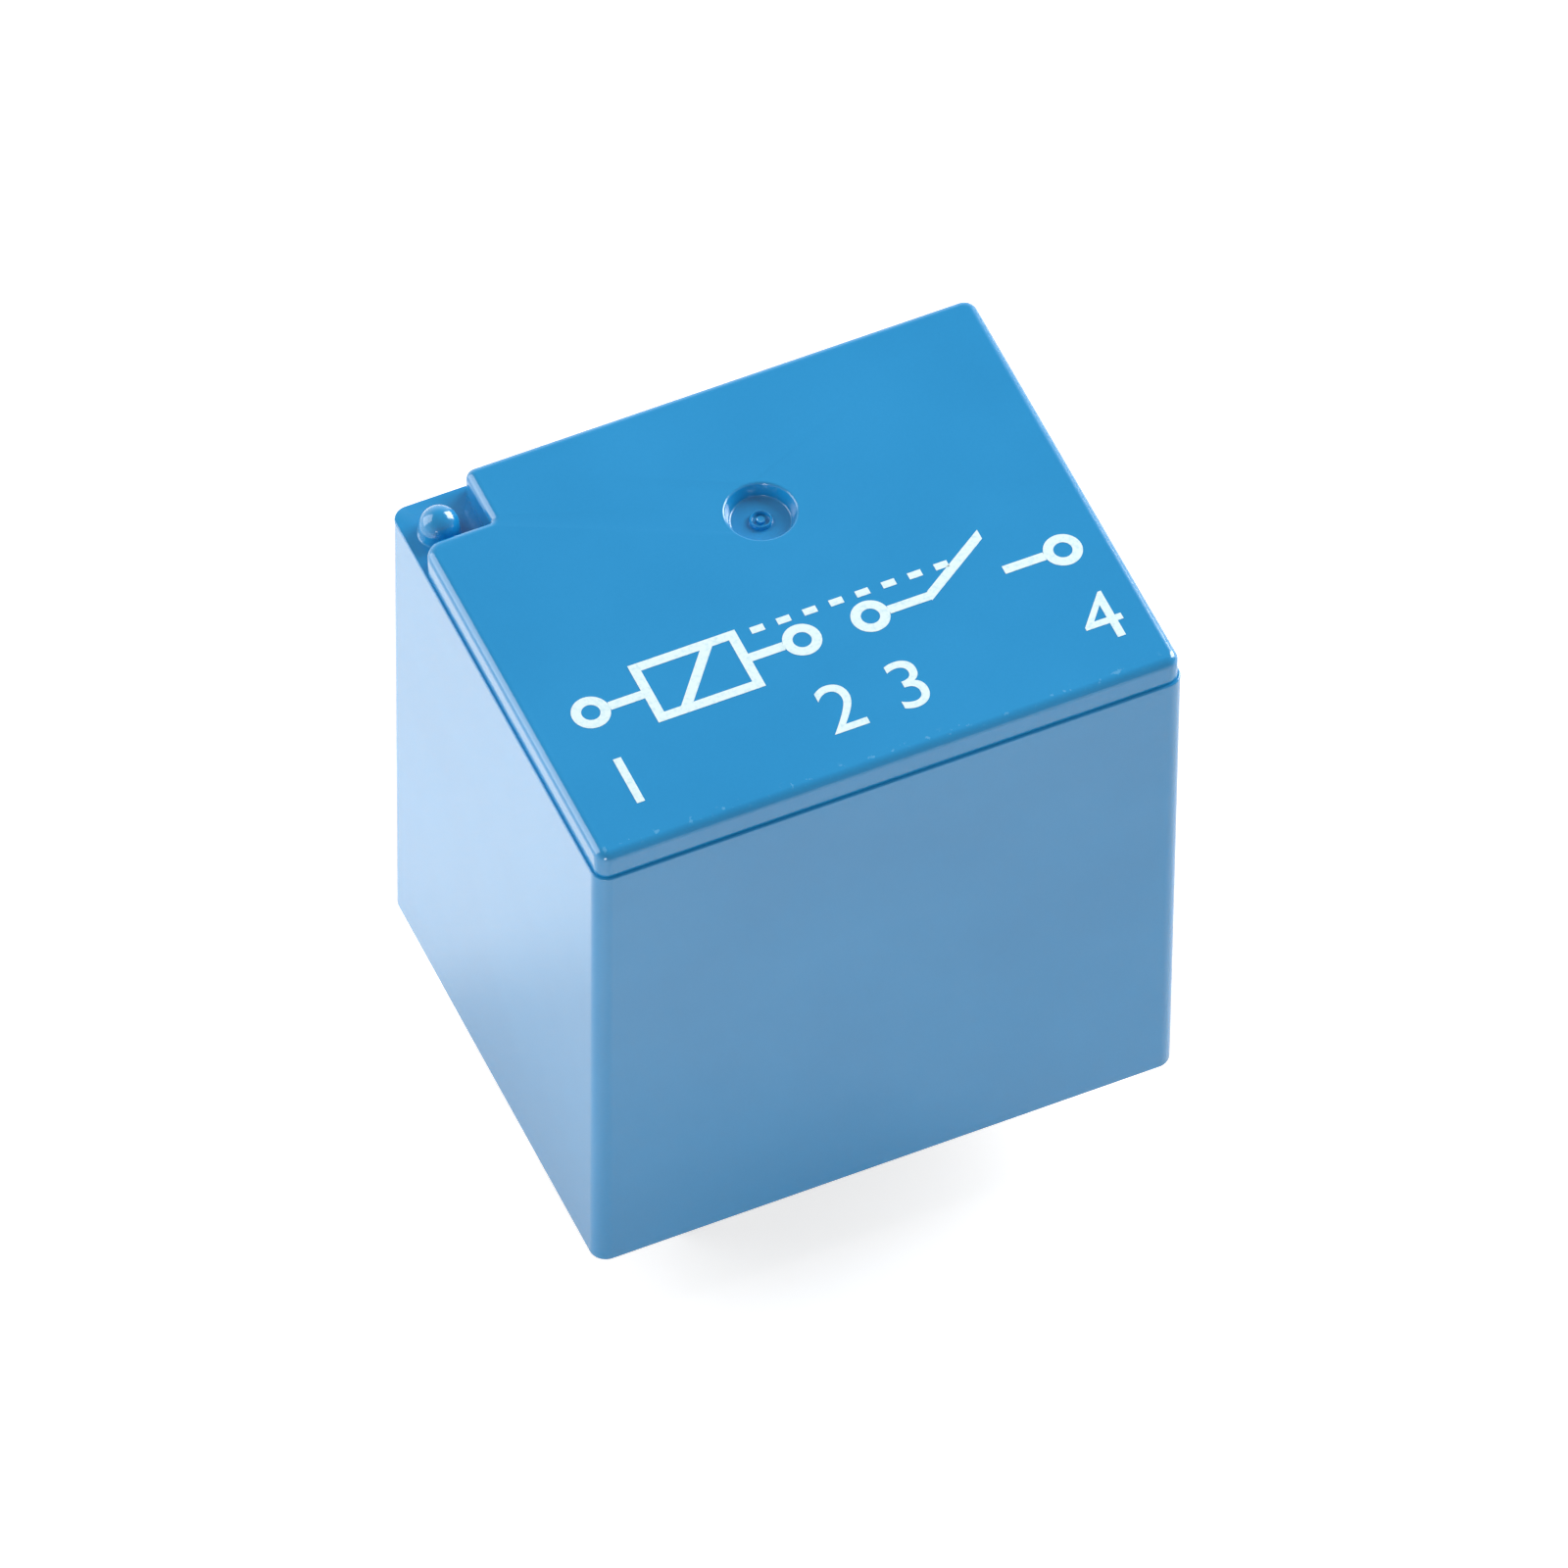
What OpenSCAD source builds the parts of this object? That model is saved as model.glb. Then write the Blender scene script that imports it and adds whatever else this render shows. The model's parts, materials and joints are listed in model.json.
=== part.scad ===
// Sealed cube power relay for a circuit board, one normally open contact.
// +Z is up, X runs along the long side and Y across it. The origin is the centre of
// the seat on the board: the open rim of the cover. The pins stand below it.
// The magnet is drawn released, with the armature resting against its back stop.

/* [Case] */
// Outside length of the cover along X
case_l = 19.8; // [18.8:0.1:24]
// Outside width of the cover along Y
case_w = 16.0; // [15.2:0.1:20]
// Height of the cover above the board
case_h = 20.2; // [18:0.1:26]
// Thickness of the side walls
wall_t = 0.8; // [0.6:0.05:1.0]
// Thickness of the roof
roof_t = 1.4; // [1.2:0.05:2]
// Radius of the upright edges of the cover
corner_r = 0.55; // [0.5:0.05:1]
// Radius of the rounded edge of the lid panel
edge_r = 0.25; // [0.1:0.05:0.35]
// Height of the lid panel above the side walls
lid_h = 1.0; // [0.7:0.05:1.2]
// How far the lid panel stands back from the side walls
lid_inset = 0.1; // [0.05:0.01:0.2]
// How much the wall is thinned where the base is let in
rebate_d = 0.15; // [0.1:0.05:0.3]
// Radius of the upright corners inside the cover
inner_r = 0.25; // [0.1:0.05:0.4]

/* [Vent nib and gate] */
// Length of the corner notch along X
notch_l = 2.45; // [2:0.05:3.5]
// Width of the corner notch along Y
notch_w = 2.3; // [1.8:0.05:3]
// Diameter of the vent nib
nib_d = 1.3; // [0.9:0.05:1.5]
// Height of the vent nib
nib_h = 1.0; // [0.7:0.05:1]
// Distance of the nib from the end face
nib_in_x = 1.1; // [0.9:0.05:1.4]
// Gap between the nib and the lid panel's notched edge along Y
nib_gap = 0.25; // [0.05:0.05:0.4]
// Diameter of the blind vent hole under the nib
vent_d = 0.5; // [0.3:0.05:0.7]
// Plastic left over the blind vent hole
vent_skin = 0.3; // [0.2:0.05:0.5]
// Least distance of the vent hole from the walls
vent_gap = 0.05; // [0.02:0.01:0.1]
// Diameter of the moulding gate's recess
gate_d = 2.4; // [1.9:0.1:3]
// Diameter of the gate recess at its floor
gate_floor_d = 2.0; // [1.4:0.1:2.3]
// Depth of the gate recess
gate_depth = 0.5; // [0.4:0.05:0.95]
// Place of the gate recess along X
gate_x = 0.3; // [-4:0.1:4]
// Place of the gate recess along Y
gate_y = 2.65; // [-4:0.05:5]
// Outside diameter of the raised ring on the recess floor
gate_ring_d = 0.76; // [0.5:0.02:1.2]
// Width of the raised ring
gate_ring_w = 0.12; // [0.08:0.01:0.2]
// Height of the raised ring
gate_ring_h = 0.14; // [0.05:0.01:0.2]

/* [Base and resin] */
// Height of the base's underside above the board
base_z = 0.9; // [0.7:0.05:1.4]
// Thickness of the base plate
base_t = 1.6; // [1.2:0.1:2.2]
// Height of the resin's surface above the board
resin_z = 0.35; // [0.1:0.05:0.6]
// Length of the terminal block along X
block_l = 1.9; // [1.4:0.1:2.2]
// Height of the terminal block above the base plate
block_h = 2.8; // [2:0.1:4]
// Thickness of the insulating barrier
barrier_t = 0.4; // [0.3:0.05:0.5]
// Height of the rails beside the yoke
rail_h = 0.8; // [0.4:0.1:1]
// Thickness of the rails beside the yoke
rail_t = 0.5; // [0.3:0.1:0.6]
// Distance between the barrier's edges and the cover
barrier_side_gap = 0.3; // [0.1:0.05:0.6]

/* [Pins] */
// Length of the pins below the board seat
pin_len = 3.5; // [3:0.1:4]
// Diameter of the coil pins below the resin
coil_pin_d = 0.6; // [0.5:0.05:0.7]
// Diameter of the coil pins' shank in the plastic
coil_shank_d = 0.95; // [0.92:0.01:1.1]
// Distance between the coil pins along Y
coil_pin_pitch = 10.16; // [9.6:0.02:10.8]
// Distance from the common pin to the coil pins along X
coil_pin_step = 2.0; // [1.8:0.1:2.3]
// Length of the coil pins' stub above the bobbin's lug
stub_h = 2.0; // [1.5:0.1:3]
// Diameter of that stub, on which the wire is wound
stub_d = 0.5; // [0.4:0.05:0.55]
// Distance of the contact pin from the middle along Y
no_pin_y = 5.08; // [4.4:0.02:5.6]
// Width of the flat contact pins
blade_w = 1.0; // [0.8:0.1:1.2]
// Thickness of the terminal strips
strip_t = 0.5; // [0.4:0.05:0.6]
// Length of the taper at the pins' tips
tip_l = 0.5; // [0.3:0.1:0.8]
// Diameter of a coil pin at its tip
coil_tip_d = 0.35; // [0.2:0.05:0.45]
// Width of a flat pin at its tip
tip_w = 0.5; // [0.3:0.05:0.7]

/* [Magnet] */
// Thickness of the yoke
yoke_t = 1.2; // [1:0.05:1.4]
// Width of the yoke
yoke_w = 8.0; // [7:0.1:8.2]
// Room for the spring between the yoke and the end wall
spring_room = 1.2; // [1.1:0.05:1.5]
// Room for the contacts between the bobbin and the other end wall
contact_room = 4.45; // [4.3:0.05:5]
// Diameter of the core as a share of the winding's
core_share = 0.45; // [0.35:0.01:0.5]
// Diameter of the core's tail in the yoke
core_tail_d = 3.0; // [2.4:0.1:3.4]
// Diameter of the pole shoe
shoe_d = 7.0; // [6:0.1:7.6]
// Thickness of the pole shoe
shoe_t = 0.8; // [0.6:0.05:1.1]
// Yoke left beyond the core's tail
yoke_foot = 1.2; // [0.8:0.1:2]
// Thickness of the bobbin's flanges
flange_t = 0.8; // [0.6:0.05:1]
// Wall of the bobbin's tube
tube_t = 0.6; // [0.4:0.05:0.9]
// How far the flanges stand out over the winding
flange_rim = 0.5; // [0.3:0.05:0.8]
// Distance of the flanges from the long walls
flange_side_gap = 0.8; // [0.6:0.05:1.2]
// Radius of the flanges' corners
flange_r = 0.8; // [0.4:0.1:1.5]
// Length of the pin lugs past the pins
lug_past = 0.9; // [0.7:0.05:1]
// Diameter of the winding wire's twisted ends
lead_d = 0.24; // [0.16:0.02:0.3]
// Number of turns of the wire's end on its pin
lead_turns = 3; // [2:1:4]
// How closely those turns nest, as a share of the wire's diameter
lead_nest = 0.9; // [0.8:0.05:0.95]

/* [Armature and contacts] */
// Angle the armature opens to, in degrees
open_angle = 2.1; // [1.6:0.1:2.6]
// Thickness of the armature
arm_t = 1.2; // [1:0.05:1.4]
// How far the armature's round end passes the pole shoe
arm_lap = 0.6; // [0.3:0.05:0.8]
// Thickness of the contact spring
leaf_t = 0.2; // [0.12:0.02:0.3]
// Width of the contact spring
leaf_w = 7.0; // [6.4:0.1:7.6]
// Middle radius of the contact spring's bend
bend_r = 0.8; // [0.6:0.05:0.9]
// Width of the window in the spring's bend
window_w = 3.0; // [2:0.1:3.6]
// Length of the window down the yoke and along the armature
window_reach = 1.4; // [1:0.1:2]
// Radius of the spring's tongue at the contact
tongue_r = 1.3; // [1.2:0.05:1.35]
// Distance of the contacts from the terminal strip
contact_inset = 1.6; // [1.5:0.05:1.7]
// Diameter of the contacts' heads
contact_d = 2.2; // [1.8:0.1:2.3]
// Height of the contacts' heads
contact_h = 0.5; // [0.4:0.05:0.7]
// Height of the crown on the contacts' heads
crown_h = 0.2; // [0.1:0.02:0.3]
// How far the crown of the contacts' heads draws in
crown_in = 0.35; // [0.2:0.05:0.5]
// Diameter of the rivets' and contacts' shanks
shank_d = 1.2; // [0.9:0.05:1.4]
// Diameter of the contacts' closed tails
tail_d = 1.8; // [1.6:0.1:2]
// Height of the contacts' closed tails
tail_h = 0.25; // [0.15:0.05:0.35]
// Diameter of the rivet heads
rivet_d = 2.0; // [1.7:0.1:2.3]
// Height of the rivet heads
rivet_h = 0.35; // [0.25:0.05:0.4]
// Distance between the two rivets of a pair
rivet_pitch = 4.4; // [4:0.1:4.6]
// Distance of the spring's rivets above its lower end
leaf_rivet_rise = 1.5; // [1.3:0.1:2]
// Distance of the armature's rivets from the hinge
arm_rivet_reach = 4.6; // [4:0.1:5.2]
// Height of the common terminal above the base
com_rise = 4.6; // [4:0.1:6]
// Width of the common terminal above the base
com_w = 3.0; // [2.4:0.1:3.6]
// Width of the terminals' contact arms
arm_w = 3.2; // [2.6:0.1:3.4]
// How far the contact arms pass the contact
arm_past = 1.4; // [1.25:0.05:1.4]
// Inside radius of the terminals' bends
strip_bend_r = 0.3; // [0.2:0.05:0.4]
// Height of the fixed contact plate's cross piece
plate_h = 4.0; // [2:0.1:5]
// Width of the back stop's leg
stop_leg_w = 2.4; // [1.8:0.1:2.8]
// Height of the back stop's cross piece
stop_cross_h = 1.4; // [1:0.1:1.6]
// Depth of the back stop's leg in the base plate
stop_root = 1.0; // [0.5:0.1:1.1]

/* [Clearances] */
// Gap round what is pressed or potted into place
fit_gap = 0.02; // [0.01:0.005:0.04]
// Gap between the base and the cover
base_gap = 0.03; // [0.01:0.01:0.06]
// Gap round the core in the bobbin
core_gap = 0.05; // [0.02:0.01:0.1]
// Gap between the yoke and its rails and lugs
yoke_gap = 0.15; // [0.05:0.05:0.2]
// Gap between the bobbin and the barrier
barrier_gap = 0.1; // [0.05:0.05:0.15]
// Gap between the terminal strips and the end wall
strip_gap = 0.3; // [0.2:0.05:0.4]
// Gap left under the armature at its hinge edge
hinge_play = 0.03; // [0.02:0.01:0.06]
// Gap between the moving contact and its back stop
stop_gap = 0.03; // [0.02:0.01:0.06]
// Room between the back stop and the roof
head_room = 0.6; // [0.4:0.05:1]
// Gap between the spring's bend and the armature's end
bend_gap = 0.1; // [0.05:0.05:0.2]
// Gap between the spring's lower end and the common terminal
leaf_gap = 0.9; // [0.5:0.1:1.4]

/* [Hidden] */
$fn = 64;

// A length to a whole micron, so that strips and bends meet exactly
function micron(v) = round(v * 1000) / 1000;

// Case
seam_z = case_h - lid_h;
cav_x = case_l / 2 - wall_t;
cav_y = case_w / 2 - wall_t;
rebate_x = cav_x + rebate_d;
rebate_y = cav_y + rebate_d;
ceiling_z = case_h - roof_t;
base_top = base_z + base_t;
nib_x = -case_l / 2 + nib_in_x;
nib_y = case_w / 2 - notch_w + nib_gap + nib_d / 2;
vent_x = max(nib_x, -cav_x + vent_d / 2 + vent_gap);
vent_y = min(nib_y, cav_y - vent_d / 2 - vent_gap);

// Magnet, from the spring's end wall towards the contacts
yoke_out = -cav_x + spring_room;
yoke_in = yoke_out + yoke_t;
flange_l = 2 * cav_x - spring_room - yoke_t - yoke_gap - contact_room;
flange_w = 2 * (cav_y - flange_side_gap);
coil_x = yoke_in + yoke_gap + flange_l / 2;
flange_end = coil_x + flange_l / 2;
winding_d = min(flange_l, flange_w) - 2 * flange_rim;
core_d = core_share * winding_d;
tube_d = core_d + 2 * (core_gap + tube_t);

// Pins
com_x = yoke_out - strip_t / 2;
coil_pin_x = com_x + coil_pin_step;
coil_pin_y = coil_pin_pitch / 2;
lug_in_y = yoke_w / 2 + yoke_gap;

// Terminal strips at the contact end
strip_out = cav_x - strip_gap;
strip_in = strip_out - strip_t;
strip_x = strip_in + strip_t / 2;
contact_x = strip_in - contact_inset;
arm_tip = contact_x - arm_past;
block_top = base_top + block_h;
stop_leg_y = -cav_y + flange_side_gap;

// Hinge and heights: the coil fills the height that the contacts leave
leaf_x = yoke_out - leaf_t / 2;
hinge_x = leaf_x + bend_r + bend_gap;
stop_z = ceiling_z - head_room - strip_t;
stack_h = arm_t + leaf_t + tail_h;
hinge_z = micron(stop_z - stop_gap - stack_h * cos(open_angle)
                 - (contact_x + tail_d / 2 - hinge_x) * sin(open_angle));
pole_z = hinge_z - hinge_play;
shoe_z = pole_z - shoe_t;
lower_flange_z = base_top + yoke_t;
winding_z = lower_flange_z + flange_t;
upper_flange_z = shoe_z - flange_t;
winding_h = upper_flange_z - winding_z;
arm_r = shoe_d / 2 + arm_lap;
no_contact_top = hinge_z + arm_t - contact_h;
no_arm_z = no_contact_top - contact_h - strip_t;
com_top = base_top + com_rise;
leaf_z = com_top + leaf_gap;
leaf_rivet_z = leaf_z + leaf_rivet_rise;
com_rivet_z = com_top - com_w / 2;
arm_rivet_x = hinge_x + arm_rivet_reach;
// Centre of the spring's bend: the spring lies flat on the open armature
bend_x = leaf_x + bend_r;
bend_z = hinge_z + (arm_t + leaf_t / 2 - bend_r + (bend_x - hinge_x) * sin(open_angle))
         / cos(open_angle);
leaf_run = contact_x + 2 * tongue_r - bend_x;
bend_steps = 16;
// A cut's overrun, so that no skin is left
cut = 0.5;

// Flat shapes

// A rectangle with round corners
module round_rect(l, w, r) {
    square([l - 2 * r, w], center = true);
    square([l, w - 2 * r], center = true);
    for (x = [-1, 1], y = [-1, 1])
        translate([x * (l / 2 - r), y * (w / 2 - r)]) circle(r);
}

// What fills the room inside the cover, of half length x and half width y, less a gap
module let_in(x, y, gap) {
    round_rect(2 * (x - gap), 2 * (y - gap), inner_r - gap);
}

// The section of a bar whose two upper edges are rounded
module crowned_section(w, h, r) {
    translate([-w / 2, 0]) square([w, h - r]);
    translate([r - w / 2, 0]) square([w - 2 * r, h]);
    for (x = [-1, 1]) translate([x * (w / 2 - r), h - r]) circle(r);
}

// A flat pin with a tapered tip, in the plane of its strip, from its tip to its top
module blade(top) {
    polygon([[-tip_w / 2, -pin_len], [tip_w / 2, -pin_len], [blade_w / 2, tip_l - pin_len],
             [blade_w / 2, top], [-blade_w / 2, top], [-blade_w / 2, tip_l - pin_len]]);
}

// Solids that several pieces share

// A block with round upright edges and a rounded upper edge
module crowned_block(l, w, h, r, edge) {
    rotate([90, 0, 90]) linear_extrude(l - 2 * r, center = true) crowned_section(w, h, edge);
    rotate([90, 0, 0]) linear_extrude(w - 2 * r, center = true) crowned_section(l, h, edge);
    for (i = [0 : 3])
        translate([(i == 0 || i == 3 ? 1 : -1) * (l / 2 - r), (i < 2 ? 1 : -1) * (w / 2 - r), 0])
            rotate([0, 0, 90 * i]) rotate_extrude(angle = 90) intersection() {
                crowned_section(2 * r, h, edge);
                square([r, h]);
            }
}

// A plate cut from strip, standing in the YZ plane: x is its inner face
module upright_strip(x, t) {
    translate([x, 0, 0]) rotate([90, 0, 90]) linear_extrude(t) children();
}

// A quarter bend of strip about Y, from a standing strip below it to a level one
module strip_bend(x, z, r_in, t, w) {
    translate([x, 0, z]) rotate([90, 0, 0]) rotate_extrude(angle = 90)
        translate([r_in, -w / 2]) square([t, w]);
}

// A contact arm: the bend over a standing strip and the level arm up to its tip
module contact_arm(z) {
    strip_bend(strip_in - strip_bend_r, z - strip_bend_r, strip_bend_r, strip_t, arm_w);
    translate([arm_tip, -arm_w / 2, z])
        cube([strip_in - strip_bend_r - arm_tip, arm_w, strip_t]);
}

// A contact's button: a flat-crowned round head standing up from z = 0
module contact_head() {
    cylinder(d = contact_d, h = contact_h - crown_h);
    translate([0, 0, contact_h - crown_h])
        cylinder(d1 = contact_d, d2 = contact_d - 2 * crown_in, h = crown_h);
}

// A rivet along -X through a stack: its head's seat is at x = 0
module rivet(grip) {
    rotate([0, -90, 0]) cylinder(d = rivet_d, h = rivet_h);
    rotate([0, 90, 0]) cylinder(d = shank_d, h = grip);
}

// Holes for rivets through a standing sheet at x
module rivet_holes(x, t, z, ys) {
    for (y = ys) translate([x - cut, y, z])
        rotate([0, 90, 0]) cylinder(d = shank_d + 2 * fit_gap, h = t + 2 * cut);
}

// Puts the moving parts, drawn flat on the pole, into their open place
module opened() {
    translate([hinge_x, 0, hinge_z]) rotate([0, -open_angle, 0])
        translate([-hinge_x, 0, -hinge_z]) children();
}

// Cover

module cover_outside() {
    linear_extrude(seam_z) round_rect(case_l, case_w, corner_r);
    translate([0, 0, seam_z - cut])
        crowned_block(case_l - 2 * lid_inset, case_w - 2 * lid_inset, lid_h + cut,
                      corner_r - lid_inset, edge_r);
}

module cover() {
    color("steelblue") {
        difference() {
            cover_outside();
            // room for the works, and the wider mouth for the base
            translate([0, 0, -cut]) linear_extrude(ceiling_z + cut)
                round_rect(2 * cav_x, 2 * cav_y, inner_r);
            translate([0, 0, -cut]) linear_extrude(base_top + cut)
                round_rect(2 * rebate_x, 2 * rebate_y, inner_r);
            // corner notch
            translate([-case_l / 2 - cut, case_w / 2 - notch_w, seam_z])
                cube([notch_l + cut, notch_w + cut, case_h]);
            // gate recess with sloping walls, its raised ring left standing
            translate([gate_x, gate_y, case_h]) cylinder(d = gate_d, h = cut);
            translate([gate_x, gate_y, case_h - gate_depth]) difference() {
                cylinder(d1 = gate_floor_d, d2 = gate_d, h = gate_depth);
                difference() {
                    cylinder(d = gate_ring_d, h = gate_ring_h);
                    cylinder(d = gate_ring_d - 2 * gate_ring_w, h = gate_ring_h);
                }
            }
            vent_hole();
        }
        difference() {
            vent_nib();
            vent_hole();
        }
    }
}

module vent_nib() {
    translate([nib_x, nib_y, seam_z]) {
        cylinder(d = nib_d, h = nib_h - nib_d / 2);
        intersection() {
            translate([0, 0, nib_h - nib_d / 2]) sphere(d = nib_d);
            cylinder(d = nib_d + cut, h = nib_h + cut);
        }
    }
}

module vent_hole() {
    translate([vent_x, vent_y, ceiling_z - cut])
        cylinder(d = vent_d, h = seam_z + nib_h - vent_skin - ceiling_z + cut);
}

// Base and resin

// What passes through the base and the resin
module pin_holes(z, h) {
    for (y = [-1, 1]) translate([coil_pin_x, y * coil_pin_y, z])
        cylinder(d = coil_shank_d + 2 * fit_gap, h = h);
    for (p = [[com_x, 0], [strip_x, no_pin_y]])
        translate([p.x - strip_t / 2 - fit_gap, p.y - blade_w / 2 - fit_gap, z])
            cube([strip_t + 2 * fit_gap, blade_w + 2 * fit_gap, h]);
}

module base() {
    color("dimgray") difference() {
        union() {
            translate([0, 0, base_z]) linear_extrude(base_t) let_in(rebate_x, rebate_y, base_gap);
            // block that grips the terminal strips, set back from the cover's inner walls
            translate([0, 0, base_top - cut]) linear_extrude(block_h + cut) intersection() {
                let_in(cav_x, cav_y, base_gap);
                translate([cav_x - base_gap - block_l, -cav_y]) square([block_l, 2 * cav_y]);
            }
            // barrier between the coil and the contacts
            translate([flange_end + barrier_gap, -cav_y + barrier_side_gap, base_top])
                cube([barrier_t, 2 * (cav_y - barrier_side_gap), shoe_z - base_top]);
            // rails that keep the yoke in line
            for (y = [-1, 1])
                translate([coil_x, y * (yoke_w / 2 + yoke_gap + rail_t / 2), base_top + rail_h / 2])
                    cube([flange_l / 2, rail_t, rail_h], center = true);
        }
        pin_holes(base_z - cut, base_t + block_h + 2 * cut);
        // root of the back stop
        translate([strip_in - fit_gap, stop_leg_y - fit_gap, base_top - stop_root])
            cube([strip_t + 2 * fit_gap, stop_leg_w + 2 * fit_gap, stop_root + block_h + cut]);
    }
}

module sealing_resin() {
    color("black") difference() {
        translate([0, 0, resin_z]) linear_extrude(base_z - resin_z) let_in(rebate_x, rebate_y, 0);
        pin_holes(resin_z - cut, base_z - resin_z + 2 * cut);
    }
}

// Magnet

module yoke() {
    foot_end = coil_x + core_tail_d / 2 + yoke_foot;
    color("silver") difference() {
        union() {
            translate([yoke_in, -yoke_w / 2, base_top])
                cube([foot_end - yoke_in, yoke_w, yoke_t]);
            translate([yoke_out, -yoke_w / 2, base_top + yoke_t])
                cube([yoke_t, yoke_w, pole_z - base_top - yoke_t]);
            // the fold between foot and leg
            translate([yoke_in, 0, base_top + yoke_t]) rotate([90, 0, 0]) intersection() {
                cylinder(r = yoke_t, h = yoke_w, center = true);
                translate([-yoke_t, -yoke_t, -yoke_w / 2]) cube([yoke_t, yoke_t, yoke_w]);
            }
        }
        translate([coil_x, 0, base_top - cut])
            cylinder(d = core_tail_d + 2 * fit_gap, h = yoke_t + 2 * cut);
        rivet_holes(yoke_out, yoke_t, leaf_rivet_z, [-rivet_pitch / 2, rivet_pitch / 2]);
        rivet_holes(yoke_out, yoke_t, com_rivet_z, [0]);
    }
}

module core() {
    color("lightgray") translate([coil_x, 0, 0]) {
        translate([0, 0, base_top]) cylinder(d = core_tail_d, h = yoke_t + cut);
        translate([0, 0, lower_flange_z]) cylinder(d = core_d, h = shoe_z - lower_flange_z + cut / 2);
        translate([0, 0, shoe_z]) cylinder(d = shoe_d, h = shoe_t);
    }
}

module flange() {
    translate([coil_x, 0, 0]) linear_extrude(flange_t) round_rect(flange_l, flange_w, flange_r);
}

module bobbin() {
    color("ivory") difference() {
        union() {
            translate([0, 0, lower_flange_z]) flange();
            translate([0, 0, upper_flange_z]) flange();
            translate([coil_x, 0, lower_flange_z]) cylinder(d = tube_d, h = shoe_z - lower_flange_z);
            // lugs that carry the coil pins on both sides of the yoke
            for (y = [lug_in_y, -flange_w / 2])
                translate([coil_pin_x - lug_past, y, lower_flange_z])
                    cube([coil_x - coil_pin_x, flange_w / 2 - lug_in_y, flange_t]);
        }
        translate([coil_x, 0, lower_flange_z - cut])
            cylinder(d = core_d + 2 * core_gap, h = shoe_z - lower_flange_z + 2 * cut);
        for (y = [-1, 1]) translate([coil_pin_x, y * coil_pin_y, lower_flange_z - cut])
            cylinder(d = coil_shank_d + 2 * fit_gap, h = flange_t + 2 * cut);
    }
}

// The winding and its two ends, which run to the pins and wind round them
module coil_winding() {
    lead_z = winding_z + lead_d;
    reach = norm([coil_pin_x - coil_x, coil_pin_y]);
    wrap_r = stub_d / 2 + fit_gap + lead_d / 2;
    color("chocolate") {
        translate([coil_x, 0, winding_z]) difference() {
            cylinder(d = winding_d, h = winding_h);
            translate([0, 0, -cut]) cylinder(d = tube_d + 2 * fit_gap, h = winding_h + 2 * cut);
        }
        for (y = [-1, 1]) {
            translate([coil_x, 0, lead_z])
                rotate([0, 0, atan2(y * coil_pin_y, coil_pin_x - coil_x)]) rotate([0, 90, 0])
                translate([0, 0, winding_d / 2 - cut])
                cylinder(d = lead_d, h = reach - winding_d / 2 + cut - wrap_r);
            for (turn = [0 : lead_turns - 1])
                translate([coil_pin_x, y * coil_pin_y, lead_z + turn * lead_d * lead_nest])
                    rotate_extrude() translate([wrap_r, 0]) circle(d = lead_d);
        }
    }
}

// Terminals

module coil_pin(y) {
    color("gainsboro") translate([coil_pin_x, y, 0]) {
        translate([0, 0, -pin_len])
            cylinder(d1 = coil_tip_d, d2 = coil_pin_d, h = tip_l);
        translate([0, 0, tip_l - pin_len]) cylinder(d = coil_pin_d, h = resin_z + pin_len - tip_l);
        translate([0, 0, resin_z]) cylinder(d = coil_shank_d, h = winding_z - resin_z);
        translate([0, 0, winding_z]) cylinder(d = stub_d, h = stub_h);
    }
}

module coil_pin_a() coil_pin(-coil_pin_y);

module coil_pin_b() coil_pin(coil_pin_y);

// A bead of solder over the end of each stub
module coil_solder() {
    bead_r = stub_d / 2 + lead_d;
    bead_h = stub_h - lead_d * (lead_turns + 1);
    color("whitesmoke") for (y = [-1, 1])
        translate([coil_pin_x, y * coil_pin_y, winding_z + stub_h]) difference() {
            union() {
                sphere(r = bead_r);
                translate([0, 0, -bead_h]) cylinder(r = bead_r, h = bead_h);
            }
            translate([0, 0, -bead_h - cut])
                cylinder(d = stub_d + 2 * fit_gap, h = bead_h + cut + fit_gap);
        }
}

module com_terminal() {
    color("goldenrod") difference() {
        upright_strip(com_x - strip_t / 2, strip_t) {
            blade(base_top);
            translate([-com_w / 2, base_top]) square([com_w, com_rise]);
        }
        rivet_holes(com_x - strip_t / 2, strip_t, com_rivet_z, [0]);
    }
}

module com_rivet() {
    color("peru") translate([com_x - strip_t / 2, 0, com_rivet_z]) rivet(strip_t + yoke_t);
}

module spring_rivets() {
    color("peru") for (y = [-1, 1])
        translate([yoke_out - leaf_t, y * rivet_pitch / 2, leaf_rivet_z]) rivet(leaf_t + yoke_t);
}

module no_terminal() {
    leg_edge = no_pin_y + blade_w / 2;
    plate_top = no_arm_z - strip_bend_r;
    color("goldenrod") difference() {
        union() {
            upright_strip(strip_in, strip_t) {
                translate([no_pin_y, 0]) blade(plate_top);
                translate([-arm_w / 2, plate_top - plate_h])
                    square([leg_edge + arm_w / 2, plate_h]);
            }
            contact_arm(no_arm_z);
        }
        translate([contact_x, 0, no_arm_z - cut])
            cylinder(d = shank_d + 2 * fit_gap, h = strip_t + 2 * cut);
    }
}

module no_contact() {
    color("silver") translate([contact_x, 0, no_arm_z]) {
        translate([0, 0, -tail_h]) cylinder(d = tail_d, h = tail_h);
        cylinder(d = shank_d, h = strip_t);
        translate([0, 0, strip_t]) contact_head();
    }
}

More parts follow.
